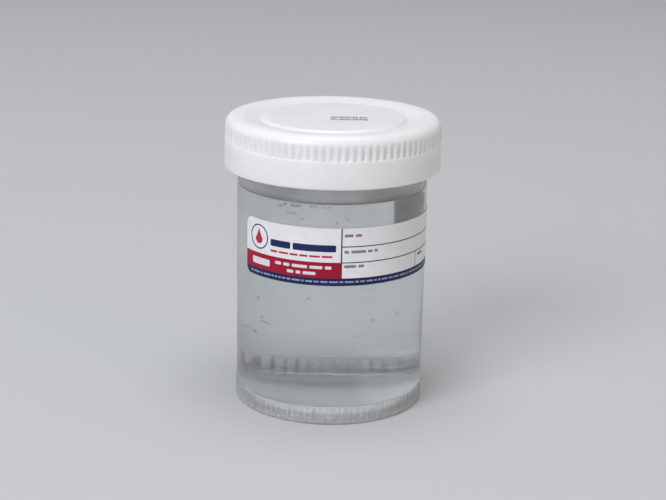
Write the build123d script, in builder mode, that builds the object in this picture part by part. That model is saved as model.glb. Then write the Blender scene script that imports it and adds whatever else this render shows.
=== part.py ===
# Specimen container: a straight-walled jar with a ribbed screw cap, a wrap-round label and its liquid.
# Millimetres. +Z is up, the origin is on the table at the middle of the foot, and -Y is the front.
import os
from math import cos, radians, sin

from build123d import *

# Jar wall, floor and mouth
wall_radius = 23.85  # outside of the straight wall
wall_thickness = 1.6
mouth_height = 70.4  # sealing rim above the table
floor_top = 1.9  # upper face of the floor above the table
floor_thickness = 1.2
floor_corner = 0.9  # inside, where the wall meets the floor
rim_edge = 0.35

# Jar neck, which carries the thread and is hidden by the cap
neck_relief = 0.4  # how far the neck stands back from the wall
neck_cover = 1.0  # how far the cap reaches down past the start of the neck

# Jar foot: a fluted ring with a plain lip above and below the flutes
foot_proud = 0.12  # how far the ring stands out from the wall
foot_height = 4.7
foot_edge = 0.4
foot_ring_width = 2.77  # what the hollow under the floor leaves to stand on
recess_slope = 0.5  # how much wider the hollow is at the table
flute_count = 96
flute_bottom_lip = 0.7
flute_top_lip = 0.3
flute_depth = 0.3
flute_mouth_width = 1.1
flute_floor_width = 0.6

# Cap skirt
thread_room = 1.85  # from the jar's neck out to the inside of the skirt
skirt_wall = 1.7
cap_height = 12.8
skirt_edge = 0.3
plain_skirt_height = 6.8

# Cap ribs: a band of grooves above the plain skirt, with a fine ledge between them
rib_count = 90
rib_ledge = 0.1  # how far the rib crests stand back from the plain skirt
groove_depth = 0.5
groove_mouth_width = 1.2
groove_floor_width = 0.8

# Cap top: rounded shoulder, flat rim, a dish that falls inwards and a raised middle
top_wall = 1.5
shoulder_radius = 2.5
shoulder_cones = 4  # short cones that the shoulder's quarter arc is drawn with
rim_width = 2.0
rim_edge_softness = 0.3
dish_depth = 1.1
dish_width = 4.1  # from the rim in to the foot of the raised middle
plateau_height = 0.7  # above the bottom of the dish
plateau_slope = 0.7
plateau_edge = 0.15

# Cap plug ring, which seals inside the mouth
plug_clearance = 0.15
plug_wall = 1.1
plug_length = 3.0
plug_lead_in = 0.5

# Label, stuck round the wall; angles run from the front towards +X
label_start_angle = -59.0
label_wrap_angle = 219.0
label_margin = 10.95  # from the start of the neck down to the label
label_height = 14.3
label_thickness = 0.12
label_adhesive = 0.03
label_corner_radius = 2.0

# Liquid, which rests in the jar and climbs the wall a little
headspace = 15.1  # from the sealing rim down to the liquid
meniscus_rise = 0.9
meniscus_width = 2.2
liquid_clearance = 0.05

# How far the cutters of the flutes and the ribs reach out past the surface that they cut
cutter_reach = 0.2


def cut_corner(profile, corner, length):
    # Chamfers the one corner of the profile that lies nearest to the place given
    chamfer(profile.vertices().sort_by_distance(corner)[0], length)


def groove_section(depth, mouth_width, floor_width):
    # Outline of one groove cutter: its origin is on the surface that it cuts, and it narrows inwards
    flare = (mouth_width - floor_width) * cutter_reach / depth
    outer_half = (mouth_width + flare) / 2
    inner_half = floor_width / 2
    Polygon(
        (-depth, -inner_half),
        (cutter_reach, -outer_half),
        (cutter_reach, outer_half),
        (-depth, inner_half),
        align=None,
    )


# Heights and radii that the pieces share
dish_bottom = mouth_height + top_wall
cap_top = dish_bottom + dish_depth
cap_bottom = cap_top - cap_height
neck_start = cap_bottom + neck_cover
neck_radius = wall_radius - neck_relief
bore_radius = wall_radius - wall_thickness

# The jar: wall, neck, floor and foot in one revolved profile, then the flutes
foot_radius = wall_radius + foot_proud
recess_mouth_radius = foot_radius - foot_ring_width
recess_height = floor_top - floor_thickness

with BuildPart() as jar:
    with BuildSketch(Plane.XZ) as jar_profile:
        with BuildLine():
            Polyline(
                (0, recess_height),
                (recess_mouth_radius - recess_slope, recess_height),
                (recess_mouth_radius, 0),
                (foot_radius, 0),
                (foot_radius, foot_height),
                (wall_radius, foot_height + foot_proud),
                (wall_radius, neck_start - neck_relief),
                (neck_radius, neck_start),
                (neck_radius, mouth_height),
                (bore_radius, mouth_height),
                (bore_radius, floor_top),
                (0, floor_top),
                close=True,
            )
        make_face()
        cut_corner(jar_profile, (foot_radius, 0), foot_edge)
        cut_corner(jar_profile, (bore_radius, floor_top), floor_corner)
        cut_corner(jar_profile, (neck_radius, mouth_height), rim_edge)
        cut_corner(jar_profile, (bore_radius, mouth_height), rim_edge)
    revolve(axis=Axis.Z)
    with BuildSketch(Plane.XY.offset(flute_bottom_lip)):
        with PolarLocations(foot_radius, flute_count):
            groove_section(flute_depth, flute_mouth_width, flute_floor_width)
    extrude(amount=foot_height - flute_bottom_lip - flute_top_lip, mode=Mode.SUBTRACT)

# The cap: shell and plug ring in one revolved profile, then the grooves between the ribs
skirt_bore_radius = neck_radius + thread_room
cap_radius = skirt_bore_radius + skirt_wall
crest_radius = cap_radius - rib_ledge
ledge_height = cap_bottom + plain_skirt_height
rim_outer_radius = crest_radius - shoulder_radius
rim_inner_radius = rim_outer_radius - rim_width
dish_foot_radius = rim_inner_radius - dish_width
plateau_radius = dish_foot_radius - plateau_slope
plateau_top = dish_bottom + plateau_height
plug_radius = bore_radius - plug_clearance
plug_bottom = mouth_height - plug_length

shoulder_points = []
for step in range(shoulder_cones + 1):
    turn = radians(90 * step / shoulder_cones)
    point_radius = rim_outer_radius + shoulder_radius * cos(turn)
    point_height = cap_top - shoulder_radius * (1 - sin(turn))
    shoulder_points.append((point_radius, point_height))

with BuildPart() as cap:
    with BuildSketch(Plane.XZ) as cap_profile:
        with BuildLine():
            Polyline(
                (0, plateau_top - top_wall),
                (plateau_radius, plateau_top - top_wall),
                (dish_foot_radius, mouth_height),
                (plug_radius - plug_wall, mouth_height),
                (plug_radius - plug_wall, plug_bottom),
                (plug_radius - plug_lead_in, plug_bottom),
                (plug_radius, plug_bottom + plug_lead_in),
                (plug_radius, mouth_height),
                (skirt_bore_radius, mouth_height),
                (skirt_bore_radius, cap_bottom),
                (cap_radius, cap_bottom),
                (cap_radius, ledge_height),
                (crest_radius, ledge_height),
                *shoulder_points,
                (rim_inner_radius, cap_top),
                (dish_foot_radius, dish_bottom),
                (plateau_radius, plateau_top),
                (0, plateau_top),
                close=True,
            )
        make_face()
        cut_corner(cap_profile, (cap_radius, cap_bottom), skirt_edge)
        cut_corner(cap_profile, (rim_inner_radius, cap_top), rim_edge_softness)
        cut_corner(cap_profile, (plateau_radius, plateau_top), plateau_edge)
    revolve(axis=Axis.Z)
    with BuildSketch(Plane.XY.offset(ledge_height)):
        with PolarLocations(crest_radius, rib_count):
            groove_section(groove_depth, groove_mouth_width, groove_floor_width)
    extrude(amount=cap_top - ledge_height, mode=Mode.SUBTRACT)

# The label: a thin film wrapped round the wall, with rounded corners
label_radius = wall_radius + label_adhesive
label_bottom = neck_start - label_margin - label_height

with BuildPart() as label:
    with BuildSketch(Plane.XZ.rotated((0, 0, label_start_angle - 90))):
        with Locations((label_radius, label_bottom)):
            Rectangle(label_thickness, label_height, align=(Align.MIN, Align.MIN))
    revolve(axis=Axis.Z, revolution_arc=label_wrap_angle)
    corner_edges = label.edges().sort_by(SortBy.LENGTH)[:4]
    fillet(corner_edges, label_corner_radius)

# The liquid: it follows the inside of the jar and ends in a meniscus
liquid_level = mouth_height - headspace
liquid_bottom = floor_top + liquid_clearance
liquid_radius = bore_radius - liquid_clearance

with BuildPart() as liquid_fill:
    with BuildSketch(Plane.XZ) as liquid_profile:
        with BuildLine():
            Polyline(
                (0, liquid_bottom),
                (liquid_radius, liquid_bottom),
                (liquid_radius, liquid_level + meniscus_rise),
                (liquid_radius - meniscus_width, liquid_level),
                (0, liquid_level),
                close=True,
            )
        make_face()
        cut_corner(liquid_profile, (liquid_radius, liquid_bottom), floor_corner)
    revolve(axis=Axis.Z)

# Each finished piece is written to its own file
jar.part.label = "jar"
cap.part.label = "cap"
label.part.label = "label"
liquid_fill.part.label = "liquid_fill"

os.makedirs("parts", exist_ok=True)
export_step(jar.part, "parts/jar.step")
export_step(cap.part, "parts/cap.step")
export_step(label.part, "parts/label.step")
export_step(liquid_fill.part, "parts/liquid_fill.step")
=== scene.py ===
import math
import random

import bpy
from mathutils import Matrix, Vector


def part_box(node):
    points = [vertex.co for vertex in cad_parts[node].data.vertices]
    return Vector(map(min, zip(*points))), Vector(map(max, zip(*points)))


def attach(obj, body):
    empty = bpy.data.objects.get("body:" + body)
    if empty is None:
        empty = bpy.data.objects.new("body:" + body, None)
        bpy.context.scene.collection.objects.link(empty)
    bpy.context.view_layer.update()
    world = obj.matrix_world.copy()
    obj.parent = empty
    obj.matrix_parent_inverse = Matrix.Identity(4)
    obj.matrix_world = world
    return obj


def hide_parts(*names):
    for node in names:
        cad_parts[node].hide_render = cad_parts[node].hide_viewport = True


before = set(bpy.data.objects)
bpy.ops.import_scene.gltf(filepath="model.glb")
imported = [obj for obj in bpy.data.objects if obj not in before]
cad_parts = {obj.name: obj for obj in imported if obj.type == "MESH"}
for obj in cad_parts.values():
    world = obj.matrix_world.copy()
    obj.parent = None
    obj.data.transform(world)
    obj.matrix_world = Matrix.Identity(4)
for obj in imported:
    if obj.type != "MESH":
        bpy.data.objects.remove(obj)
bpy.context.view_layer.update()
mm = 0.001
tiny = 1e-6  # metres, for comparing places

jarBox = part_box("jar")
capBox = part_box("cap")
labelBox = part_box("label")
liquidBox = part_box("liquid_fill")
print("frame loaded:", sorted(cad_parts))

# In the dictionaries of the pieces, lengths are in mm and heights are above the table,
# unless a note says otherwise.


# Colour, node and mesh helpers

def hexToLinear(hexColour):
    # sRGB hex to the linear colour that shaders take
    channels = [int(hexColour[i:i + 2], 16) / 255 for i in (1, 3, 5)]
    linear = [c / 12.92 if c <= 0.04045 else ((c + 0.055) / 1.055) ** 2.4 for c in channels]
    return (*linear, 1.0)


def addNode(tree, kind, inputs=None, **settings):
    # An input is a plain value, or another node's output socket, which then gets linked
    node = tree.nodes.new(kind)
    for name, value in settings.items():
        setattr(node, name, value)
    for socket, value in (inputs or {}).items():
        if isinstance(value, bpy.types.NodeSocket):
            tree.links.new(value, node.inputs[socket])
        else:
            node.inputs[socket].default_value = value
    return node


def newMaterial(name):
    material = bpy.data.materials.new(name)
    material.use_nodes = True
    material.node_tree.nodes.clear()
    return material, material.node_tree


def blotches(tree, sizeMm, detail=2.0):
    # Soft noise whose spots measure about sizeMm on the object
    coordinates = addNode(tree, "ShaderNodeTexCoord")
    noise = addNode(tree, "ShaderNodeTexNoise", {
        "Vector": coordinates.outputs["Object"],
        "Scale": 1 / (sizeMm * mm),
        "Detail": detail,
        "Roughness": 0.5,
    })
    return noise.outputs["Fac"]


def mottle(tree, noise, colours, roughness):
    # Colour and finish of an uneven surface, ready for a shader. Noise, which stays mostly between
    # 0.3 and 0.7, takes both from one end to the other; a roughness that is one number stays so.
    share = {"Value": noise, "From Min": 0.3, "From Max": 0.7}
    colour = addNode(tree, "ShaderNodeMix", {
        "Factor": addNode(tree, "ShaderNodeMapRange", share).outputs["Result"],
        6: hexToLinear(colours[0]),  # the mixed colours are sockets 6 and 7, and the result is 2
        7: hexToLinear(colours[1]),
    }, data_type="RGBA")
    if isinstance(roughness, tuple):
        ends = {"To Min": roughness[0], "To Max": roughness[1]}
        roughness = addNode(tree, "ShaderNodeMapRange", {**share, **ends}).outputs["Result"]
    return {"Base Color": colour.outputs[2], "Roughness": roughness}


def around(azimuth, radius, height):
    # Azimuth runs from the front, which faces -Y, towards +X
    return (radius * math.sin(azimuth), -radius * math.cos(azimuth), height)


arcSteps = {  # in degrees; an arc counts as large from this rounding in mm
    "largeFrom": 0.6,
    "large": 9,
    "small": 15,
}


def roundedProfile(corners):
    # A corner is (radius, height) or (radius, height, rounding), in mm; rounded ones become arcs.
    # The points that come back are in metres.
    points = []
    for index, corner in enumerate(corners):
        here = Vector(corner[:2])
        rounding = corner[2] if len(corner) > 2 else 0
        if not rounding:
            points.append((here.x * mm, here.y * mm))
            continue
        before = (Vector(corners[index - 1][:2]) - here).normalized()
        after = (Vector(corners[index + 1][:2]) - here).normalized()
        halfAngle = before.angle(after) / 2
        centre = here + (before + after).normalized() * rounding / math.sin(halfAngle)
        spoke = here + before * rounding / math.tan(halfAngle) - centre
        turn = math.pi - 2 * halfAngle
        if before.x * after.y - before.y * after.x > 0:
            turn = -turn
        stepAngle = arcSteps["large" if rounding > arcSteps["largeFrom"] else "small"]
        steps = max(3, round(abs(turn) / math.radians(stepAngle)))
        for step in range(steps + 1):
            angle = turn * step / steps
            x = centre.x + spoke.x * math.cos(angle) - spoke.y * math.sin(angle)
            y = centre.y + spoke.x * math.sin(angle) + spoke.y * math.cos(angle)
            points.append((x * mm, y * mm))
    return points


def fillRun(points, radius, step):
    # Adds points on the straight upright run at one radius, which carries a thread
    filled = [points[0]]
    for point in points[1:]:
        last = filled[-1]
        if max(abs(last[0] - radius), abs(point[0] - radius)) < tiny:
            count = max(1, round(abs(point[1] - last[1]) / step))
            for i in range(1, count):
                filled.append((radius, last[1] + i / count * (point[1] - last[1])))
        filled.append(point)
    return filled


def lathe(name, profile, count, shape=None):
    # Turns a profile that starts and ends on the axis into one closed mesh;
    # shape, where given, moves a point in or out
    rings = profile[1:-1]
    vertices = []
    for radius, height in rings:
        for step in range(count):
            azimuth = 2 * math.pi * step / count
            shaped = shape(radius, height, azimuth) if shape else radius
            vertices.append(around(azimuth, shaped, height))
    firstPole = len(vertices)
    vertices.append((0, 0, profile[0][1]))
    vertices.append((0, 0, profile[-1][1]))
    faces = []
    for step in range(count):
        following = (step + 1) % count
        faces.append((firstPole, following, step))
        for ring in range(len(rings) - 1):
            low, high = ring * count, (ring + 1) * count
            faces.append((low + step, low + following, high + following, high + step))
        last = (len(rings) - 1) * count
        faces.append((last + step, last + following, firstPole + 1))
    return newMesh(name, vertices, faces)


def newMesh(name, vertices, faces):
    mesh = bpy.data.meshes.new(name)
    mesh.from_pydata(vertices, [], faces)
    mesh.update()
    return mesh


def newPiece(name, mesh, materials, body, smoothAngle=35):
    mesh.shade_smooth()
    mesh.set_sharp_from_angle(angle=math.radians(smoothAngle))
    piece = bpy.data.objects.new(name, mesh)
    bpy.context.scene.collection.objects.link(piece)
    for material in materials:
        mesh.materials.append(material)
    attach(piece, body)
    return piece


def smooth(share):
    share = min(1.0, max(0.0, share))
    return share * share * (3 - 2 * share)


def ridge(azimuth, height, thread):
    # Share of the thread's full height at a place on the neck or in the cap, 0 between the turns
    best = 0.0
    turn = azimuth / (2 * math.pi) - thread["startTurn"]
    turn -= math.floor(turn)
    while turn <= thread["turns"]:
        centre = thread["startHeight"] + thread["pitch"] * turn
        away = abs(height / mm - centre)
        flank = (thread["baseWidth"] - thread["crestWidth"]) / 2
        side = 1 - smooth((away - thread["crestWidth"] / 2) / flank)
        ends = smooth(turn / thread["runOut"]) * smooth((thread["turns"] - turn) / thread["runOut"])
        best = max(best, side * ends)
        turn += 1
    return best


# Jar

jar = {
    "segments": 768,
    "wallThickness": 1.6,
    "footProud": 0.12,
    "footHeight": 4.7,
    "footRing": 2.77,
    "recessSlope": 0.5,
    "recessRounding": 0.5,
    "ringRounding": 0.25,  # inner edge of the ring that it stands on
    "footRounding": 0.45,
    "rimRounding": 0.4,
    "floorTop": 1.9,
    "floorThickness": 1.2,
    "floorRounding": 1.1,
    "neckRelief": 0.4,
    "neckStart": 61.2,
    "fluteCount": 96,
    "fluteDepth": 0.3,
    "fluteFloor": 0.5,  # width of a flute's floor
    "fluteMouth": 1.1,
    "fluteLow": 0.7,
    "fluteHigh": 4.4,
    "fluteEnd": 0.35,  # over this height a flute runs out at each end
    "thread": {
        "startTurn": 0.1,
        "startHeight": 63.4,
        "pitch": 3.4,
        "turns": 1.5,
        "runOut": 0.06,  # in turns
        "height": 1.15,
        "baseWidth": 1.7,
        "crestWidth": 0.6,
        "step": 0.22,  # between the rings of points that carry it
    },
    # Share of light that passes, finish from smoothest to roughest, size and depth of the ripple
    "looks": {
        "wall": {"clear": 0.94, "finish": (0.03, 0.06), "ripple": (5.0, 0.02)},
        "foot": {"clear": 0.66, "finish": (0.04, 0.08), "ripple": (2.5, 0.01)},
        "misted": {"clear": 0.8, "finish": (0.2, 0.34), "ripple": (0.9, 0.04)},
        "floor": {"clear": 0.94, "finish": 0.08, "ripple": (2.0, 0.02)},
    },
    # What these looks change to: going up the wall, and going in towards the axis under the floor
    "fades": {
        "wall": {"from": 55.0, "to": 59.5, "sockets": {"Transmission Weight": 0.7}},
        "floor": {
            "from": 15.0,
            "to": 8.0,
            "sockets": {"Transmission Weight": 0.93, "Roughness": 0.12},
        },
    },
    "cloudSize": 14.0,  # of the slow changes in colour and finish
}
boreRadius = jarBox[1].x / mm - jar["footProud"] - jar["wallThickness"]


def clearPolypropylene(zone):
    # Clarified polypropylene, injection moulded: glossy and see-through with a trace of milkiness,
    # and a faint orange peel from the mould that makes what shows through it waver a little.
    # The foot is thicker and reads milkier, the middle of the floor's underside is frosted where
    # the mould was left rough, and above the liquid the wall is misted with fine drops.
    look = jar["looks"][zone]
    material, tree = newMaterial("clearPolypropylene_" + zone)
    rippleSize, rippleDepth = look["ripple"]
    bump = addNode(tree, "ShaderNodeBump", {
        "Height": blotches(tree, rippleSize, 1.0),
        "Distance": rippleDepth * mm,
        "Strength": 0.6,
    })
    cloud = blotches(tree, jar["cloudSize"], 3.0)
    surface = {
        **mottle(tree, cloud, ("#F1F4F6", "#F9FAF9"), look["finish"]),
        "IOR": 1.49,
        "Transmission Weight": look["clear"],
        "Subsurface Weight": 1.0,
        "Subsurface Radius": (1.0, 1.0, 1.0),
        "Subsurface Scale": 1.2 * mm,
        "Normal": bump.outputs["Normal"],
    }
    if zone in jar["fades"]:
        fade = jar["fades"][zone]
        place = addNode(tree, "ShaderNodeTexCoord").outputs["Object"]
        if zone == "wall":
            along = addNode(tree, "ShaderNodeSeparateXYZ", {"Vector": place}).outputs["Z"]
        else:
            noHeight = {0: place, 1: (1.0, 1.0, 0.0)}
            flat = addNode(tree, "ShaderNodeVectorMath", noHeight, operation="MULTIPLY")
            toAxis = {0: flat.outputs["Vector"]}
            reach = addNode(tree, "ShaderNodeVectorMath", toAxis, operation="LENGTH")
            along = reach.outputs["Value"]
        for socket, last in fade["sockets"].items():
            surface[socket] = addNode(tree, "ShaderNodeMapRange", {
                "Value": along,
                "From Min": fade["from"] * mm,
                "From Max": fade["to"] * mm,
                "To Min": surface[socket],
                "To Max": last,
            }, interpolation_type="SMOOTHSTEP").outputs["Result"]
    shader = addNode(tree, "ShaderNodeBsdfPrincipled", surface)
    addNode(tree, "ShaderNodeOutputMaterial", {"Surface": shader.outputs["BSDF"]})
    return material


def jarZone(centre):
    # Which look a face has: the foot is the outside only, and the mist is inside, above the liquid
    margin = 0.1  # mm, keeps the tests off the edges between looks
    height = centre.z / mm
    radius = math.hypot(centre.x, centre.y) / mm
    if height < jar["footHeight"] and radius > boreRadius + margin:
        return "foot"
    if height > liquidBox[1].z / mm and radius < boreRadius + margin:
        return "misted"
    if height < jar["floorTop"] - margin and radius < jarBox[1].x / mm - jar["footRing"]:
        return "floor"
    return "wall"


def jarShape(radius, height, azimuth):
    # Cuts the flutes into the foot ring and lays the thread on the neck
    neckRadius = jarBox[1].x - (jar["footProud"] + jar["neckRelief"]) * mm
    if radius < neckRadius - tiny:
        return radius
    if height < jar["footHeight"] * mm:
        pitch = 2 * math.pi * jarBox[1].x / jar["fluteCount"] / mm
        offset = azimuth / (2 * math.pi) * jar["fluteCount"]
        away = abs(offset - round(offset)) * pitch
        flank = (jar["fluteMouth"] - jar["fluteFloor"]) / 2
        across = 1 - smooth((away - jar["fluteFloor"] / 2) / flank)
        low = smooth((height / mm - jar["fluteLow"]) / jar["fluteEnd"])
        high = smooth((jar["fluteHigh"] - height / mm) / jar["fluteEnd"])
        return radius - jar["fluteDepth"] * mm * across * low * high
    if height > jar["neckStart"] * mm + tiny:
        return radius + jar["thread"]["height"] * mm * ridge(azimuth, height, jar["thread"])
    return radius


def makeJar():
    footRadius = jarBox[1].x / mm
    mouthHeight = jarBox[1].z / mm
    wallRadius = footRadius - jar["footProud"]
    neckRadius = wallRadius - jar["neckRelief"]
    recessHeight = jar["floorTop"] - jar["floorThickness"]
    recessMouth = footRadius - jar["footRing"]
    profile = roundedProfile([
        (0, recessHeight),
        (recessMouth - jar["recessSlope"], recessHeight, jar["recessRounding"]),
        (recessMouth, 0, jar["ringRounding"]),
        (footRadius, 0, jar["footRounding"]),
        (footRadius, jar["fluteLow"]),
        (footRadius, jar["fluteLow"] + jar["fluteEnd"] / 2),
        (footRadius, jar["fluteLow"] + jar["fluteEnd"]),
        (footRadius, jar["fluteHigh"] - jar["fluteEnd"]),
        (footRadius, jar["fluteHigh"] - jar["fluteEnd"] / 2),
        (footRadius, jar["fluteHigh"]),
        (footRadius, jar["footHeight"]),
        (wallRadius, jar["footHeight"] + jar["footProud"]),
        (wallRadius, jar["neckStart"] - jar["neckRelief"]),
        (neckRadius, jar["neckStart"]),
        (neckRadius, mouthHeight, jar["rimRounding"]),
        (boreRadius, mouthHeight, jar["rimRounding"]),
        (boreRadius, liquidBox[1].z / mm),
        (boreRadius, jar["floorTop"], jar["floorRounding"]),
        (0, jar["floorTop"]),
    ])
    profile = fillRun(profile, neckRadius * mm, jar["thread"]["step"] * mm)
    mesh = lathe("jar_moulding", profile, jar["segments"], jarShape)
    zones = list(jar["looks"])
    materials = [clearPolypropylene(zone) for zone in zones]
    piece = newPiece("jar_moulding", mesh, materials, "container")
    for polygon in mesh.polygons:
        polygon.material_index = zones.index(jarZone(polygon.center))
    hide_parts("jar")


makeJar()
print("jar made")


# Cap

cap = {
    "segmentsPerRib": 8,
    "ribCount": 90,
    "ribLedge": 0.1,
    "grooveDepth": 0.5,
    "grooveMouth": 1.2,
    "grooveFloor": 0.6,
    "grooveStart": 0.35,  # over this height above the ledge the grooves deepen
    "grooveStartRings": (0.35, 0.65, 1.0),  # where the mesh has points on it, as shares of it
    "grooveFadeFrom": 1.26,  # above the ledge
    "grooveFade": 3.6,  # over this height they run out
    "crestHeight": 1.8,  # above the ledge, where the crests begin to lean
    "skirtWall": 1.7,
    "plainSkirt": 6.8,
    "shoulderRadius": 2.5,
    "rimWidth": 2.0,
    "dishDepth": 1.1,
    "dishWidth": 4.1,
    "plateauHeight": 0.7,
    "plateauSlope": 0.7,
    "topWall": 1.5,
    "plugClearance": 0.15,
    "plugWall": 1.1,
    "plugLength": 3.0,
    "roundings": {
        "inside": 0.3,
        "plugInner": 0.25,
        "plugLeadIn": 0.45,
        "plugRoot": 0.2,
        "skirtEdge": 0.5,
        "ledge": 0.08,
        "rim": 2.5,
        "dishFoot": 0.5,
        "plateau": 0.4,
    },
    "thread": {
        "startTurn": 0.1,
        "startHeight": 61.7,
        "pitch": 3.4,
        "turns": 1.5,
        "runOut": 0.06,
        "height": 1.15,
        "baseWidth": 1.6,
        "crestWidth": 0.6,
        "step": 0.25,
    },
}


def whitePolypropylene():
    # White filled polypropylene, injection moulded: dense satin white, and a little light gets into
    # the thin ribs. The mould's grain is drawn a few times coarser than it is, so that it shows.
    material, tree = newMaterial("whitePolypropyleneMoulded")
    grain = blotches(tree, 0.45, 2.0)
    bump = addNode(tree, "ShaderNodeBump", {
        "Height": grain,
        "Distance": 0.01 * mm,
        "Strength": 0.5,
    })
    shader = addNode(tree, "ShaderNodeBsdfPrincipled", {
        **mottle(tree, blotches(tree, 9.0, 3.0), ("#ECEDEF", "#F3F3F4"), (0.34, 0.42)),
        "IOR": 1.5,
        "Subsurface Weight": 0.6,
        "Subsurface Radius": (1.0, 1.0, 1.0),
        "Subsurface Scale": 2.5 * mm,
        "Normal": bump.outputs["Normal"],
    })
    addNode(tree, "ShaderNodeOutputMaterial", {"Surface": shader.outputs["BSDF"]})
    return material


def capShape(radius, height, azimuth):
    # Cuts the grooves between the ribs and lays the thread in the bore
    capRadius = capBox[1].x
    ledge = capBox[0].z + cap["plainSkirt"] * mm
    crest = capRadius - cap["ribLedge"] * mm
    if radius > capRadius - cap["skirtWall"] / 2 * mm:
        if height < ledge - tiny or radius > crest + tiny:
            return radius
        pitch = 2 * math.pi * crest / cap["ribCount"] / mm
        offset = azimuth / (2 * math.pi) * cap["ribCount"]
        away = abs(offset - round(offset)) * pitch
        flank = (cap["grooveMouth"] - cap["grooveFloor"]) / 2
        across = 1 - smooth((away - cap["grooveFloor"] / 2) / flank)
        rise = (height - ledge) / mm
        start = smooth(rise / cap["grooveStart"])
        runOut = 1 - smooth((rise - cap["grooveFadeFrom"]) / cap["grooveFade"])
        return min(radius, crest - cap["grooveDepth"] * mm * across * start * runOut)
    bore = capRadius - cap["skirtWall"] * mm
    if abs(radius - bore) < tiny:
        return radius - cap["thread"]["height"] * mm * ridge(azimuth, height, cap["thread"])
    return radius


def makeCap():
    capRadius = capBox[1].x / mm
    capTop = capBox[1].z / mm
    capBottom = capBox[0].z / mm
    ledge = capBottom + cap["plainSkirt"]
    crest = capRadius - cap["ribLedge"]
    rimInner = crest - cap["shoulderRadius"] - cap["rimWidth"]
    dishFoot = rimInner - cap["dishWidth"]
    dishBottom = capTop - cap["dishDepth"]
    underTop = dishBottom - cap["topWall"]
    plateau = dishFoot - cap["plateauSlope"]
    plateauTop = dishBottom + cap["plateauHeight"]
    bore = capRadius - cap["skirtWall"]
    plug = boreRadius - cap["plugClearance"]
    plugBottom = underTop - cap["plugLength"]
    soft = cap["roundings"]
    profile = roundedProfile([
        (0, plateauTop - cap["topWall"]),
        (plateau, plateauTop - cap["topWall"]),
        (dishFoot, underTop),
        (plug - cap["plugWall"], underTop, soft["inside"]),
        (plug - cap["plugWall"], plugBottom, soft["plugInner"]),
        (plug, plugBottom, soft["plugLeadIn"]),
        (plug, underTop, soft["plugRoot"]),
        (bore, underTop, soft["inside"]),
        (bore, capBottom, soft["inside"]),
        (capRadius, capBottom, soft["skirtEdge"]),
        (capRadius, ledge, soft["ledge"]),
        (crest, ledge),
        *((crest, ledge + cap["grooveStart"] * share) for share in cap["grooveStartRings"]),
        (crest, ledge + cap["crestHeight"]),
        (crest, capTop, cap["shoulderRadius"]),
        (rimInner, capTop, soft["rim"]),
        (dishFoot, dishBottom, soft["dishFoot"]),
        (plateau, plateauTop, soft["plateau"]),
        (plateau / 2, plateauTop),
        (0, plateauTop),
    ])
    profile = fillRun(profile, bore * mm, cap["thread"]["step"] * mm)
    mesh = lathe("cap_moulding", profile, cap["ribCount"] * cap["segmentsPerRib"], capShape)
    white = [whitePolypropylene()]
    piece = newPiece("cap_moulding", mesh, white, "closure", smoothAngle=50)
    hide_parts("cap")


makeCap()
print("cap made")


# Ink-jet mark on the cap's raised middle: plain dotted bars

inkMark = {
    "left": -0.6,  # mm from the axis
    "lines": (-4.4, -1.9),  # front edge of each line of dots, mm from the axis
    "bars": (7, 11, 5, 8),  # columns of dots in each bar, with one blank column between bars
    "rows": 4,
    "columnStep": 0.27,
    "rowStep": 0.42,
    "dotRadius": 0.14,
    "dotSpread": (0.85, 1.1),  # smallest and largest dot, as shares of that radius
    "dotCorners": 8,
    "dotHeight": 0.012,
    "dotSink": 0.01,  # below the cap's face, so that the slab stands on it
    "scatter": (0.02, 0.03),  # how far a dot strays sideways and lengthways
    "inkShare": 0.92,  # of the dots, the rest have missed the cap
    "seed": 5,
}


def inkJetDots():
    # Solvent ink-jet print: matt black dots that have run together in places
    material, tree = newMaterial("inkJetBlack")
    black = addNode(tree, "ShaderNodeMix", {
        "Factor": blotches(tree, 0.6),
        6: hexToLinear("#2A2A2E"),
        7: hexToLinear("#55555A"),
    }, data_type="RGBA")
    finish = addNode(tree, "ShaderNodeMapRange", {
        "Value": blotches(tree, 0.3),
        "From Min": 0.3,
        "From Max": 0.7,
        "To Min": 0.5,
        "To Max": 0.7,
    })
    shader = addNode(tree, "ShaderNodeBsdfPrincipled", {
        "Base Color": black.outputs[2],
        "Roughness": finish.outputs["Result"],
    })
    addNode(tree, "ShaderNodeOutputMaterial", {"Surface": shader.outputs["BSDF"]})
    return material


def addPrism(vertices, faces, outline, bottom, top):
    # A closed flat slab over an outline
    start, count = len(vertices), len(outline)
    vertices.extend((x, y, bottom) for x, y in outline)
    vertices.extend((x, y, top) for x, y in outline)
    faces.append(tuple(start + count + i for i in range(count)))
    faces.append(tuple(start + i for i in reversed(range(count))))
    for i in range(count):
        j = (i + 1) % count
        faces.append((start + i, start + j, start + count + j, start + count + i))


def makeInkMark():
    dice = random.Random(inkMark["seed"])
    face = capBox[1].z - (cap["dishDepth"] - cap["plateauHeight"]) * mm
    bottom, top = face - inkMark["dotSink"] * mm, face + inkMark["dotHeight"] * mm
    sideways, lengthways = inkMark["scatter"]
    vertices, faces, places = [], [], []
    for front in inkMark["lines"]:
        column = 0
        for bar in inkMark["bars"]:
            for i in range(bar):
                left = inkMark["left"] + column * inkMark["columnStep"]
                for row in range(inkMark["rows"]):
                    places.append((left, front + row * inkMark["rowStep"]))
                column += 1
            column += 1
    for left, front in places:
        if dice.random() > inkMark["inkShare"]:
            continue
        x = (left + dice.uniform(-sideways, sideways)) * mm
        y = (front + dice.uniform(-lengthways, lengthways)) * mm
        radius = inkMark["dotRadius"] * dice.uniform(*inkMark["dotSpread"]) * mm
        outline = []
        for corner in range(inkMark["dotCorners"]):
            angle = 2 * math.pi * corner / inkMark["dotCorners"]
            outline.append((x + radius * math.cos(angle), y + radius * math.sin(angle)))
        addPrism(vertices, faces, outline, bottom, top)
    mesh = newMesh("cap_ink_mark", vertices, faces)
    newPiece("cap_ink_mark", mesh, [inkJetDots()], "closure")


makeInkMark()
print("ink mark made")


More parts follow.
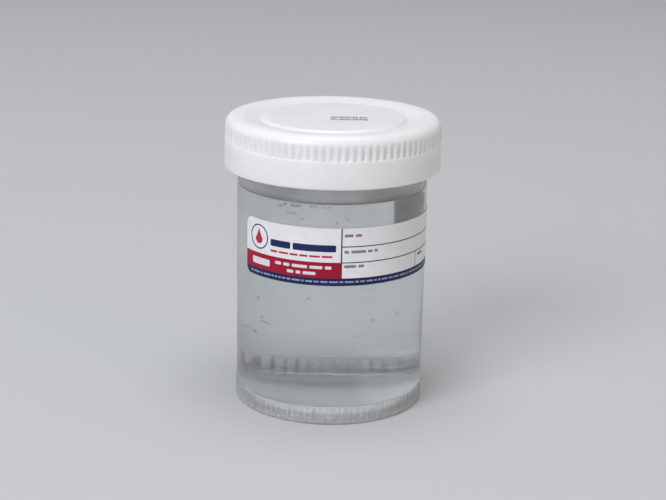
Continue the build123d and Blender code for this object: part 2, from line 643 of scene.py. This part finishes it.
# Label

label = {
    "start": -59.0,  # degrees from the front
    "wrap": 219.0,
    "thickness": 0.16,  # with the glue, which reaches the jar's wall
    "cornerRadius": 2.0,
    "crimsonTop": 5.85,  # mm above the label's lower edge
    "navyTop": 1.9,
    "dividerAt": 6.2,  # degrees from the front
    "dividerWidth": 0.33,
    "ruleHeights": (9.75, 5.8),
    "ruleWidth": 0.26,
    "smallDividerAt": 60.0,
    "smallDividerWidth": 0.24,
    "inkThickness": 0.012,
    "inkSink": 0.01,  # below the film's face, so that the print stands on it
    "columnStep": 1.2,  # degrees between the mesh's upright lines
    "cornerSteps": 12,
}


def labelStock():
    # Coated white film label: even, bright, satin, with the soft mottle of its top coat
    material, tree = newMaterial("coatedLabelFilm")
    bump = addNode(tree, "ShaderNodeBump", {
        "Height": blotches(tree, 3.0),
        "Distance": 0.01 * mm,
        "Strength": 0.4,
    })
    shader = addNode(tree, "ShaderNodeBsdfPrincipled", {
        **mottle(tree, blotches(tree, 1.5, 3.0), ("#E6E6EA", "#EFEEEF"), (0.34, 0.44)),
        "Normal": bump.outputs["Normal"],
    })
    addNode(tree, "ShaderNodeOutputMaterial", {"Surface": shader.outputs["BSDF"]})
    return material


def labelInk(name, dark, pale):
    # Flexo ink on film: a flat field of colour, slightly uneven where the plate laid it down
    material, tree = newMaterial(name)
    shader = addNode(tree, "ShaderNodeBsdfPrincipled", {
        **mottle(tree, blotches(tree, 0.8, 3.0), (dark, pale), (0.4, 0.5)),
        "Specular IOR Level": 0.3,
    })
    addNode(tree, "ShaderNodeOutputMaterial", {"Surface": shader.outputs["BSDF"]})
    return material


def labelBack():
    # The glued side of the film, seen through the jar: warmer and matt, with some light coming
    # through it
    material, tree = newMaterial("labelFilmGluedSide")
    shader = addNode(tree, "ShaderNodeBsdfPrincipled", {
        **mottle(tree, blotches(tree, 4.0, 4.0), ("#E6E0D4", "#F0EBE0"), (0.5, 0.65)),
        "Subsurface Weight": 0.5,
        "Subsurface Radius": (1.0, 1.0, 1.0),
        "Subsurface Scale": 0.3 * mm,
    })
    addNode(tree, "ShaderNodeOutputMaterial", {"Surface": shader.outputs["BSDF"]})
    return material


labelRadius = labelBox[1].x  # outer face of the film
perDegree = math.radians(1) * labelRadius / mm  # mm along the film


def alongAt(degrees):
    # mm along the film, from its start to a place given in degrees from the front
    return (degrees - label["start"]) * perDegree


def labelEdge(along, upper):
    # Height in mm of the label's upper or lower edge; along is in mm from its start
    radius = label["cornerRadius"]
    height = (labelBox[1].z - labelBox[0].z) / mm
    length = label["wrap"] * perDegree
    inset = max(0.0, radius - min(along, length - along))
    drop = radius - math.sqrt(max(0.0, radius ** 2 - inset ** 2))
    return height - drop if upper else drop


def makeLabel():
    outer = labelRadius
    inner = outer - label["thickness"] * mm
    base = labelBox[0].z
    height = (labelBox[1].z - base) / mm
    length = label["wrap"] * perDegree
    divider, smallDivider = alongAt(label["dividerAt"]), alongAt(label["smallDividerAt"])
    dividerHalf, smallHalf = label["dividerWidth"] / 2, label["smallDividerWidth"] / 2
    cuts = {0.0, length, divider - dividerHalf, divider + dividerHalf}
    cuts |= {smallDivider - smallHalf, smallDivider + smallHalf}
    for i in range(label["cornerSteps"] + 1):
        angle = math.radians(90 * i / label["cornerSteps"])
        arc = label["cornerRadius"] * (1 - math.cos(angle))
        cuts |= {arc, length - arc}
    columns = sorted(cuts)
    step = label["columnStep"] * perDegree
    filled = [columns[0]]
    for cut in columns[1:]:
        count = max(1, math.ceil((cut - filled[-1]) / step))
        first = filled[-1]
        filled.extend(first + (cut - first) * i / count for i in range(1, count + 1))
    columns = filled

    rows = {0.0, height, label["navyTop"], label["crimsonTop"]}
    for rule in label["ruleHeights"]:
        rows |= {rule - label["ruleWidth"] / 2, rule + label["ruleWidth"] / 2}
    rows = sorted(rows)
    stock, crimson, navy, black, back = range(5)

    def field(along, up):
        if up < label["navyTop"]:
            return navy
        if abs(along - divider) < dividerHalf:
            return black
        if along < divider:
            return crimson if up < label["crimsonTop"] else stock
        if any(abs(up - rule) < label["ruleWidth"] / 2 for rule in label["ruleHeights"]):
            return black
        if abs(along - smallDivider) < smallHalf and up < label["ruleHeights"][1]:
            return black
        return stock

    vertices, lookup, faces, fields = [], {}, [], []

    def vertex(along, up, radius):
        # The corners are rounded by holding each point inside the label's edge
        up = min(max(up, labelEdge(along, False)), labelEdge(along, True))
        key = (round(along, 5), round(up, 5), radius)
        if key not in lookup:
            lookup[key] = len(vertices)
            azimuth = math.radians(label["start"] + along / perDegree)
            vertices.append(around(azimuth, radius, base + up * mm))
        return lookup[key]

    def addFace(corners, material):
        distinct = [c for i, c in enumerate(corners) if c != corners[i - 1]]
        if len(distinct) > 2:
            faces.append(distinct)
            fields.append(material)

    def quad(first, second, third, fourth, material):
        addFace([vertex(*first), vertex(*second), vertex(*third), vertex(*fourth)], material)

    for a, b in zip(columns, columns[1:]):
        for low, high in zip(rows, rows[1:]):
            ink = field((a + b) / 2, (low + high) / 2)
            quad((a, low, outer), (b, low, outer), (b, high, outer), (a, high, outer), ink)
            quad((a, high, inner), (b, high, inner), (b, low, inner), (a, low, inner), back)
        quad((a, height, outer), (b, height, outer), (b, height, inner), (a, height, inner), stock)
        quad((a, 0, inner), (b, 0, inner), (b, 0, outer), (a, 0, outer), navy)
    for low, high in zip(rows, rows[1:]):
        for end, near, far in ((0, inner, outer), (length, outer, inner)):
            quad((end, low, near), (end, low, far), (end, high, far), (end, high, near), stock)
    mesh = newMesh("label_film", vertices, faces)
    materials = [
        labelStock(),
        labelInk("flexoInkCrimson", "#98002A", "#A30230"),
        labelInk("flexoInkNavy", "#0B1748", "#122155"),
        labelInk("flexoInkBlack", "#26282E", "#34363C"),
        labelBack(),
    ]
    piece = newPiece("label_film", mesh, materials, "container", smoothAngle=60)
    for polygon, material in zip(mesh.polygons, fields):
        polygon.material_index = material
    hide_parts("label")


makeLabel()
print("label made")


# Print on the label: plain bars, and a ring with a drop

labelPrint = {
    "seed": 11,
    "ringAt": -46.8,  # degrees from the front
    "ringHeight": 9.95,  # above the label's lower edge, as all heights here
    "ringRadius": 3.1,
    "ringWidth": 0.32,
    "ringSteps": 48,
    "dropRadius": 1.25,
    "dropSag": 0.5,  # how far the drop's bowl sits below the ring's middle
    "dropTip": 2.1,  # height of the tip over the bowl's middle, in radii
    "dropTaper": 1.25,  # a higher power gives a thinner tip
    "dropShoulder": 0.6,  # the least height beside the tip, as a share of the bowl's
    "dropSteps": 24,
    "barStep": 0.5,  # longest piece of a bar, so that it follows the wall
    "arcSteps": 6,
    "barLengths": (1.6, 2.3, 3.0, 4.2, 5.2),  # of the short bars in a line, in line heights
    "barGap": 0.8,
    "barRounding": 0.3,
    # Each place below is a start and an end in degrees from the front, a height and a thickness
    "navyBars": ((-37.5, -24.0, 8.45, 1.7), (-22.5, 3.0, 8.45, 1.7)),
    "navyRounding": 0.35,
    "whiteBar": (-52.5, -38.0, 3.0, 1.7),
    "whiteRounding": 0.4,
    "crimsonLine": (-37.5, 2.5, 7.0, 0.5),
    "whiteLines": ((-34.0, 0.5, 4.15, 0.75), (-26.0, -8.0, 2.6, 0.75)),
    "greyLines": (
        (7.8, 18.5, 12.15, 0.7), (7.8, 28.0, 8.1, 0.7),
        (7.8, 19.5, 4.5, 0.7), (62.5, 70.0, 4.35, 0.7),
    ),
    "paleLine": (-54.0, 156.0, 0.78, 0.42),
}


class Print:
    # Gathers closed patches of ink that lie on the label's face, as (along, up) shapes in mm
    def __init__(self):
        self.vertices = []
        self.faces = []
        self.inks = []

    def strip(self, columns, ink):
        # columns is a list of (along, low, high); neighbours are joined into one closed patch
        inner = labelRadius - label["inkSink"] * mm
        outer = labelRadius + label["inkThickness"] * mm
        start = len(self.vertices)
        for along, low, high in columns:
            azimuth = math.radians(label["start"] + along / perDegree)
            for radius, up in ((outer, low), (outer, high), (inner, high), (inner, low)):
                self.vertices.append(around(azimuth, radius, labelBox[0].z + up * mm))
        last = start + 4 * (len(columns) - 1)
        self.faces.append((start, start + 1, start + 2, start + 3))
        self.faces.append((last + 3, last + 2, last + 1, last))
        for index in range(len(columns) - 1):
            a, b = start + 4 * index, start + 4 * (index + 1)
            for side in range(4):
                following = (side + 1) % 4
                self.faces.append((a + side, b + side, b + following, a + following))
        self.inks.extend([ink] * (2 + 4 * (len(columns) - 1)))

    def bar(self, left, low, length, height, ink, rounding):
        count = max(2, math.ceil(length / labelPrint["barStep"]))
        alongs = {left + length * i / count for i in range(count + 1)}
        for i in range(labelPrint["arcSteps"]):
            arc = rounding * (1 - math.cos(math.radians(90 * i / labelPrint["arcSteps"])))
            alongs |= {left + arc, left + length - arc}
        columns = []
        for along in sorted(alongs):
            inset = max(0.0, rounding - min(along - left, left + length - along))
            drop = rounding - math.sqrt(max(0.0, rounding ** 2 - inset ** 2))
            columns.append((along, low + drop, low + height - drop))
        self.strip(columns, ink)

    def ring(self, centre, up, radius, width, ink):
        # Two halves, the upper and the lower one
        count = labelPrint["ringSteps"]
        inner = radius - width
        for half in (1, -1):
            columns = []
            for i in range(count + 1):
                angle = math.pi * i / count
                across = -math.cos(angle) * radius
                far = math.sqrt(max(0.0, radius ** 2 - across ** 2))
                near = math.sqrt(max(0.0, inner ** 2 - across ** 2))
                low, high = sorted((half * near, half * far))
                columns.append((centre + across, up + low, up + high))
            self.strip(columns, ink)

    def drop(self, centre, up, radius, ink):
        # A round drop with a pointed top
        columns = []
        tip = radius * labelPrint["dropTip"]
        for i in range(labelPrint["dropSteps"] + 1):
            across = -math.cos(math.pi * i / labelPrint["dropSteps"]) * radius
            bowl = math.sqrt(max(0.0, radius ** 2 - across ** 2))
            point = tip * (1 - abs(across) / radius) ** labelPrint["dropTaper"]
            shoulder = bowl * labelPrint["dropShoulder"]
            columns.append((centre + across, up - bowl, up + max(shoulder, point)))
        self.strip(columns, ink)

    def plain(self, place, ink, rounding):
        start, end, low, height = place
        self.bar(alongAt(start), low, alongAt(end) - alongAt(start), height, ink, rounding)

    def line(self, place, ink, dice):
        # A line of short plain bars with small gaps
        start, end, low, height = place
        along, last = alongAt(start), alongAt(end)
        while along < last - height:
            length = min(dice.choice(labelPrint["barLengths"]) * height, last - along)
            self.bar(along, low, length, height, ink, height * labelPrint["barRounding"])
            along += length + labelPrint["barGap"] * height


def makeLabelPrint():
    dice = random.Random(labelPrint["seed"])
    ink = Print()
    white, crimson, navy, grey, pale = range(5)

    ring, middle = alongAt(labelPrint["ringAt"]), labelPrint["ringHeight"]
    ink.ring(ring, middle, labelPrint["ringRadius"], labelPrint["ringWidth"], navy)
    ink.drop(ring, middle - labelPrint["dropSag"], labelPrint["dropRadius"], crimson)
    for place in labelPrint["navyBars"]:
        ink.plain(place, navy, labelPrint["navyRounding"])
    ink.line(labelPrint["crimsonLine"], crimson, dice)
    ink.plain(labelPrint["whiteBar"], white, labelPrint["whiteRounding"])
    for place in labelPrint["whiteLines"]:
        ink.line(place, white, dice)
    for place in labelPrint["greyLines"]:
        ink.line(place, grey, dice)
    ink.line(labelPrint["paleLine"], pale, dice)

    mesh = newMesh("label_print", ink.vertices, ink.faces)
    materials = [
        labelInk("printWhite", "#D9D6DC", "#E6E6EA"),
        labelInk("printCrimson", "#A81C3A", "#B93350"),
        labelInk("printNavy", "#0D1A4E", "#15265C"),
        labelInk("printGrey", "#77787D", "#8C8D92"),
        labelInk("printPaleBlue", "#8791B0", "#9CA5BF"),
    ]
    newPiece("label_print", mesh, materials, "container", smoothAngle=40)
    for polygon, index in zip(mesh.polygons, ink.inks):
        polygon.material_index = index


makeLabelPrint()
print("label print made")


# Liquid

liquid = {
    "segments": 256,
    "level": 55.3,
    "meniscusRise": 0.9,
    "meniscusWidth": 2.2,
    "soak": 0.06,  # how far it reaches into the wall, so that no air shows between them
    "seed": 3,
    "meniscusSteps": 12,
    "meniscusPower": 2.6,  # how steeply the liquid climbs the wall
    # On the inside of the wall: degrees from the front, height, half width and half height
    "frontBubbles": (
        (-50.5, 29.6, 0.36, 0.36), (-53.5, 20.5, 0.42, 0.42),
        (-47.0, 25.0, 0.34, 0.34), (-37.0, 32.2, 0.26, 0.26),
        (27.5, 26.2, 0.45, 0.28), (46.0, 26.5, 0.4, 0.26),
        (35.5, 23.2, 0.3, 0.2), (16.0, 22.6, 0.45, 0.25),
        (23.5, 18.6, 0.4, 0.22), (9.0, 17.9, 0.24, 0.24),
        (-14.5, 17.2, 0.22, 0.22), (-26.0, 15.6, 0.24, 0.24),
        (-25.0, 53.0, 1.6, 0.2), (9.5, 52.0, 0.4, 0.3),
        (-44.0, 24.0, 1.7, 0.16), (-33.0, 54.4, 0.5, 0.3),
        (3.0, 51.2, 0.3, 0.3), (-18.0, 51.8, 0.3, 0.24),
    ),
    "blobRings": 8,
    "blobSegments": 12,
    "wallGap": 1.05,  # from a bubble's middle to the wall, in its own half depths
    "backBubbles": {
        "count": 30,
        "radii": (0.12, 0.16, 0.2, 0.28, 0.4),
        "spread": (0.8, 1.2),
        "sector": (100, 260),  # degrees from the front
        "heights": (7, 48, 20),  # lowest, highest and commonest
    },
    "surfaceBubbles": {
        "count": 18,
        "radius": (0.15, 0.42),
        "sector": (-31, 0),
        "gaps": (1.1, 1.15),  # least to the wall and to the surface, in radii
        "climbWidth": 0.3,  # they rise with the meniscus only this close to the wall
        "reach": 1.2,  # root of how much further from the wall one may be
    },
    "wallDrops": {  # clinging above the liquid
        "count": 26,
        "sector": (-33, 24, -12),  # from, to and commonest
        "above": (0.3, 2.0),  # the meniscus
        "halfDepth": 0.22,
        "halfWidth": (0.2, 0.75),
        "halfHeight": (0.15, 0.4),
    },
}


def clearLiquid():
    # Dilute clear preserving liquid, as thin as water: no colour to speak of, sharp refraction
    material, tree = newMaterial("clearWateryLiquid")
    shader = addNode(tree, "ShaderNodeBsdfPrincipled", {
        **mottle(tree, blotches(tree, 20.0), ("#F6F9FA", "#FCFDFD"), 0.0),
        "IOR": 1.337,
        "Transmission Weight": 1.0,
    })
    addNode(tree, "ShaderNodeOutputMaterial", {"Surface": shader.outputs["BSDF"]})
    return material


def addBlob(vertices, faces, azimuth, place, size, hollow):
    # place is distance from the axis and height, size is half depth, half width and half height.
    # A bubble in the liquid is hollow, so its faces look inwards; a drop is not.
    start, rings, count = len(vertices), liquid["blobRings"], liquid["blobSegments"]
    distance, height = place
    depth, width, upright = size
    outwards = Vector(around(azimuth, 1, 0))
    sideways = Vector((-outwards.y, outwards.x, 0))
    centre = outwards * distance + Vector((0, 0, height))

    def surface(polar, angle):
        across = outwards * depth * math.cos(angle) + sideways * width * math.sin(angle)
        rise = Vector((0, 0, upright * math.cos(polar)))
        return tuple((centre + across * math.sin(polar) + rise) * mm)

    for ring in range(1, rings):
        polar = math.pi * ring / rings
        vertices.extend(surface(polar, 2 * math.pi * step / count) for step in range(count))
    top, bottom = len(vertices), len(vertices) + 1
    vertices.extend((surface(0, 0), surface(math.pi, 0)))
    blob = []
    for step in range(count):
        following = (step + 1) % count
        blob.append((top, start + following, start + step))
        for ring in range(rings - 2):
            low, high = start + ring * count, start + (ring + 1) * count
            blob.append((low + step, low + following, high + following, high + step))
        last = start + (rings - 2) * count
        blob.append((last + step, last + following, bottom))
    faces.extend(blob if hollow else [tuple(reversed(face)) for face in blob])


def makeLiquid():
    edge = boreRadius + liquid["soak"]
    bottom = jar["floorTop"] - liquid["soak"]
    level, power = liquid["level"], liquid["meniscusPower"]
    rise, width = liquid["meniscusRise"], liquid["meniscusWidth"]
    corners = [(0, bottom), (edge, bottom, jar["floorRounding"]), (edge, level + rise)]
    for i in range(1, liquid["meniscusSteps"] + 1):
        share = i / liquid["meniscusSteps"]
        corners.append((boreRadius - width * share, level + rise * (1 - share) ** power))
    corners.append((boreRadius / 2, level))
    corners.append((0, level))
    profile = roundedProfile(corners)
    mesh = lathe("liquid", profile, liquid["segments"])
    vertices = [tuple(v.co) for v in mesh.vertices]
    faces = [tuple(p.vertices) for p in mesh.polygons]
    bpy.data.meshes.remove(mesh)

    for degrees, height, halfWidth, halfHeight in liquid["frontBubbles"]:
        azimuth = math.radians(degrees)
        depth = min(halfWidth, halfHeight)
        place = (boreRadius - depth * liquid["wallGap"], height)
        addBlob(vertices, faces, azimuth, place, (depth, halfWidth, halfHeight), True)
    dice = random.Random(liquid["seed"])
    back = liquid["backBubbles"]
    for i in range(back["count"]):
        radius = dice.choice(back["radii"]) * dice.uniform(*back["spread"])
        azimuth = math.radians(dice.uniform(*back["sector"]))
        place = (boreRadius - radius * liquid["wallGap"], dice.triangular(*back["heights"]))
        addBlob(vertices, faces, azimuth, place, (radius, radius, radius), True)
    floating = liquid["surfaceBubbles"]
    wallGap, surfaceGap = floating["gaps"]
    for i in range(floating["count"]):
        radius = dice.uniform(*floating["radius"])
        azimuth = math.radians(dice.uniform(*floating["sector"]))
        inset = radius * wallGap + dice.uniform(0, floating["reach"]) ** 2
        climb = max(0.0, 1 - inset / floating["climbWidth"])
        surface = level + rise * climb ** power
        place = (boreRadius - inset, surface - radius * surfaceGap)
        addBlob(vertices, faces, azimuth, place, (radius, radius, radius), True)
    drops = liquid["wallDrops"]
    for i in range(drops["count"]):
        azimuth = math.radians(dice.triangular(*drops["sector"]))
        height = level + rise + dice.uniform(*drops["above"])
        place = (boreRadius - drops["halfDepth"] + liquid["soak"], height)
        halfWidth = dice.uniform(*drops["halfWidth"])
        halfHeight = dice.uniform(*drops["halfHeight"])
        addBlob(vertices, faces, azimuth, place, (drops["halfDepth"], halfWidth, halfHeight), False)
    mesh = newMesh("liquid_body", vertices, faces)
    clear = [clearLiquid()]
    piece = newPiece("liquid_body", mesh, clear, "container", smoothAngle=40)
    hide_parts("liquid_fill")


makeLiquid()
print("liquid made")


# Floor and backdrop

stage = {
    "colour": "#CFD1D3",
    "floorRadius": 2.4,  # in metres, as the next one and the inner ring
    "curve": 0.8,
    "curveTurn": 45,  # degrees, the edge of the sheet is lifted this far
    "curveSteps": 10,
    "innerRing": 0.6,
    "segments": 96,
}


def paleStudioPaper():
    # Matt pale paper, as hung for product pictures: takes the shadow and gives no gloss
    material, tree = newMaterial("paleStudioPaper")
    shader = addNode(tree, "ShaderNodeBsdfPrincipled", {
        "Base Color": hexToLinear(stage["colour"]),
        "Roughness": 0.9,
        "Specular IOR Level": 0.2,
    })
    addNode(tree, "ShaderNodeOutputMaterial", {"Surface": shader.outputs["BSDF"]})
    return material


def makeStage():
    # A round floor that curves up all round, so that every view has the same plain ground
    run = [(stage["innerRing"], 0.0), (stage["floorRadius"], 0.0)]
    for i in range(1, stage["curveSteps"] + 1):
        angle = math.radians(stage["curveTurn"] * i / stage["curveSteps"])
        run.append((
            stage["floorRadius"] + stage["curve"] * math.sin(angle),
            stage["curve"] * (1 - math.cos(angle)),
        ))
    count = stage["segments"]
    vertices, faces = [(0, 0, 0)], []
    for radius, height in run:
        for step in range(count):
            vertices.append(around(2 * math.pi * step / count, radius, height))
    for step in range(count):
        following = (step + 1) % count
        faces.append((0, 1 + step, 1 + following))
        for ring in range(len(run) - 1):
            low, high = 1 + ring * count, 1 + (ring + 1) * count
            faces.append((low + step, high + step, high + following, low + following))
    mesh = newMesh("studio_sweep", vertices, faces)
    mesh.shade_smooth()
    mesh.materials.append(paleStudioPaper())
    sweep = bpy.data.objects.new("studio_sweep", mesh)
    bpy.context.scene.collection.objects.link(sweep)


makeStage()
print("stage made")


# Light and camera

studio = {
    "lamps": {  # places and sizes in metres, power in watts
        "key": {"place": (-0.85, -1.2, 0.85), "size": 0.9, "power": 14.8, "colour": "#FBFBFF"},
        "top": {"place": (0.0, -0.1, 1.6), "size": 1.0, "power": 10.0, "colour": "#FFFFFF"},
        "fill": {"place": (1.3, -0.8, 0.5), "size": 0.8, "power": 2.2, "colour": "#FFD3A4"},
    },
    "lampAim": 0.04,  # metres up the axis
    "light": "#C9CCD0",  # what the surroundings shed on the object
    "lightStrength": 0.5,
    "backdrop": "#CFD1D3",  # what the camera, gloss and clear plastic see beyond the floor
}


def makeLamps():
    target = Vector((0, 0, studio["lampAim"]))
    for name, look in studio["lamps"].items():
        light = bpy.data.lights.new(name + "_softbox", "AREA")
        light.shape = "SQUARE"
        light.size = look["size"]
        light.energy = look["power"]
        light.color = hexToLinear(look["colour"])[:3]
        lamp = bpy.data.objects.new(name + "_softbox", light)
        lamp.location = look["place"]
        aim = target - Vector(look["place"])
        lamp.rotation_euler = aim.to_track_quat("-Z", "Y").to_euler()
        bpy.context.scene.collection.objects.link(lamp)


def makeSurroundings():
    # Soft light from all round; only camera, gloss and transmission rays meet the pale backdrop
    world = bpy.data.worlds.new("studio")
    world.use_nodes = True
    tree = world.node_tree
    tree.nodes.clear()
    light = addNode(tree, "ShaderNodeBackground", {
        "Color": hexToLinear(studio["light"]),
        "Strength": studio["lightStrength"],
    })
    backdrop = addNode(tree, "ShaderNodeBackground", {
        "Color": hexToLinear(studio["backdrop"]),
        "Strength": 1.0,
    })
    path = addNode(tree, "ShaderNodeLightPath")
    gloss = addNode(tree, "ShaderNodeMath", {
        0: path.outputs["Is Camera Ray"],
        1: path.outputs["Is Glossy Ray"],
    }, operation="MAXIMUM")
    seen = addNode(tree, "ShaderNodeMath", {
        0: gloss.outputs["Value"],
        1: path.outputs["Is Transmission Ray"],
    }, operation="MAXIMUM")
    mix = addNode(tree, "ShaderNodeMixShader", {
        0: seen.outputs["Value"],
        1: light.outputs["Background"],
        2: backdrop.outputs["Background"],
    })
    addNode(tree, "ShaderNodeOutputWorld", {"Surface": mix.outputs["Shader"]})
    bpy.context.scene.world = world


cameraFit = {
    "distance": 386.51,  # mm in front of the axis
    "height": 150.73,
    "pitch": 0.2838,  # radians downwards
    "yaw": 0.0014,
    "roll": 0.0205,
    "focalPixels": 1583.2,
    "imageWidth": 666,
    "sensorWidth": 36,
    "clipStart": 0.01,  # metres
}


def makeCamera():
    pitch, yaw, roll = cameraFit["pitch"], cameraFit["yaw"], cameraFit["roll"]
    ahead = math.cos(pitch)
    forward = Vector((math.sin(yaw) * ahead, math.cos(yaw) * ahead, -math.sin(pitch)))
    level = Vector((math.cos(yaw), -math.sin(yaw), 0))
    upright = level.cross(forward)
    right = level * math.cos(roll) + upright * math.sin(roll)
    up = upright * math.cos(roll) - level * math.sin(roll)
    data = bpy.data.cameras.new("photo_view")
    data.sensor_width = cameraFit["sensorWidth"]
    data.lens = cameraFit["focalPixels"] / cameraFit["imageWidth"] * data.sensor_width
    data.clip_start = cameraFit["clipStart"]
    camera = bpy.data.objects.new("photo_view", data)
    turn = Matrix((right, up, -forward)).transposed().to_4x4()
    place = Vector((0, -cameraFit["distance"] * mm, cameraFit["height"] * mm))
    camera.matrix_world = Matrix.Translation(place) @ turn
    bpy.context.scene.collection.objects.link(camera)
    bpy.context.scene.camera = camera


makeLamps()
makeSurroundings()
makeCamera()
bpy.context.scene.view_settings.view_transform = "Standard"
print("lights and camera made")
